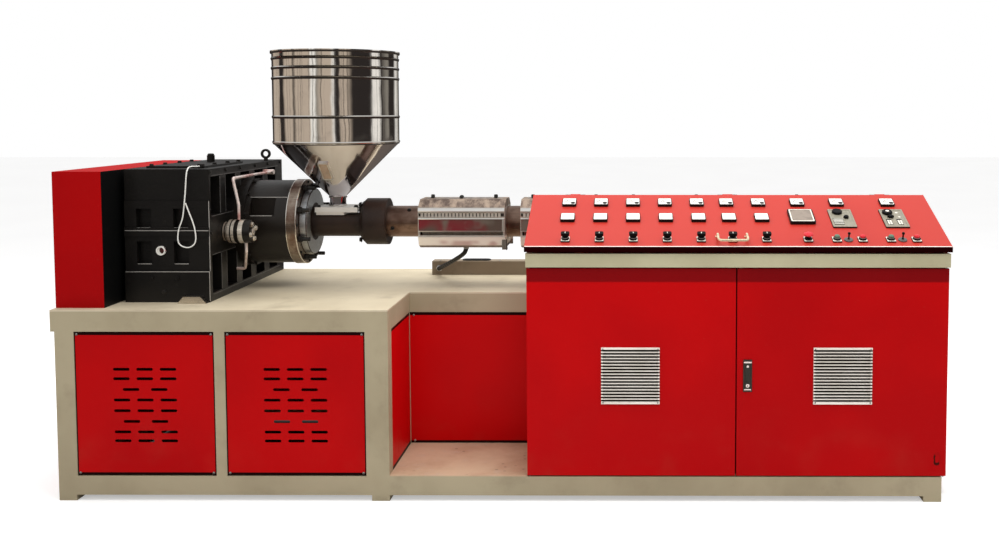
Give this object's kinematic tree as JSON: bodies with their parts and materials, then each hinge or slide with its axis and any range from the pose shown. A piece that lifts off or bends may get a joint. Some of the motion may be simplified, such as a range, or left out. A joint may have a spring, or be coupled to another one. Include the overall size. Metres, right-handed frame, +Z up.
{
  "type": "single-screw plastic extruder",
  "caption": "Single-screw plastic extruder on a panelled bench, with feed hopper, gearbox, heated barrel and a control cabinet with opening doors and lid.",
  "frame": {"origin": "middle of the floor under the machine's whole box", "axes": "+X along the screw towards the die end, +Y from the console side to the back, +Z up"},
  "size_m": [3.367, 1.07, 1.72],
  "materials": {
    "frame_paint": "satin beige paint",
    "red_paint": "gloss red paint",
    "gearbox_paint": "semi-gloss black paint on castings",
    "cast_dark": "oiled dark casting",
    "barrel_steel": "heat-darkened steel",
    "machined_steel": "machined",
    "stainless": "polished stainless",
    "zinc": "plated",
    "black_steel": "blackened fasteners",
    "pipe_metal": "bright tube",
    "grille_plastic": "moulded beige",
    "instrument_plastic": "white faces in dark bezels",
    "switch_plastic": "black",
    "brass_bright": "polished",
    "sight_glass": "clear",
    "wire_sheath": "pale sheath",
    "conduit_rubber": "ribbed black"
  },
  "bodies": {
    "machine": {"bottom_rails": "frame_paint", "bottom_cross_rails": "frame_paint", "frame_posts": "frame_paint", "top_rails": "frame_paint", "top_cross_rails": "frame_paint", "bench_plate": "frame_paint", "machine_feet": "frame_paint", "louvre_panel_left": "red_paint", "louvre_panel_right": "red_paint", "end_panels": "red_paint", "recess_panels": "red_paint", "floor_plates": "frame_paint", "rear_panels": "red_paint", "cabinet_sides": "red_paint", "cabinet_back": "red_paint", "cabinet_mullion": "frame_paint", "console_band": "frame_paint", "hinge_pins": "zinc", "belt_guard": "red_paint", "gearbox_lower": "gearbox_paint", "gearbox_upper": "gearbox_paint", "gearbox_cover": "gearbox_paint", "lifting_eye": "black_steel", "gearbox_foot_clamp": "machined_steel", "sight_glass": "sight_glass", "oil_pump": "machined_steel", "oil_pipes": "pipe_metal", "thrust_housing": "cast_dark", "bearing_ring": "machined_steel", "feed_section": "cast_dark", "barrel_coupling": "cast_dark", "barrel": "barrel_steel", "die_flange": "barrel_steel", "heater_1": "stainless", "heater_2": "stainless", "heater_3": "stainless", "heater_4": "stainless", "clamp_bolts": "black_steel", "barrel_stand": "frame_paint", "hopper_gate": "stainless", "hopper_plate": "stainless", "hopper_cone": "stainless", "hopper_drum": "stainless", "hopper_window": "sight_glass", "cable_trunk": "frame_paint", "conduits": "conduit_rubber", "hanging_wire": "wire_sheath"},
    "left_door": {"cabinet_door_left": "red_paint", "grille_left": "grille_plastic"},
    "right_door": {"cabinet_door_right": "red_paint", "grille_right": "grille_plastic", "door_lock": "zinc"},
    "lid": {"console_lid": "red_paint", "lid_handle": "brass_bright", "temperature_meters": "instrument_plastic", "temperature_controllers": "instrument_plastic", "selector_switches": "switch_plastic", "display_and_keypads": "instrument_plastic", "push_buttons": "switch_plastic"}
  },
  "joints": [
    {"name": "left_door_hinge", "type": "hinge", "parent": "machine", "child": "left_door", "pos_m": [0.1115, -0.511, 0.49], "axis": [0, 0, -1], "range_deg": [0, 110]},
    {"name": "right_door_hinge", "type": "hinge", "parent": "machine", "child": "right_door", "pos_m": [1.6675, -0.511, 0.49], "axis": [0, 0, 1], "range_deg": [0, 110]},
    {"name": "lid_hinge", "type": "hinge", "parent": "machine", "child": "lid", "pos_m": [0.8865, -0.116, 1.126], "axis": [-1, 0, 0], "range_deg": [0, 60]}
  ]
}
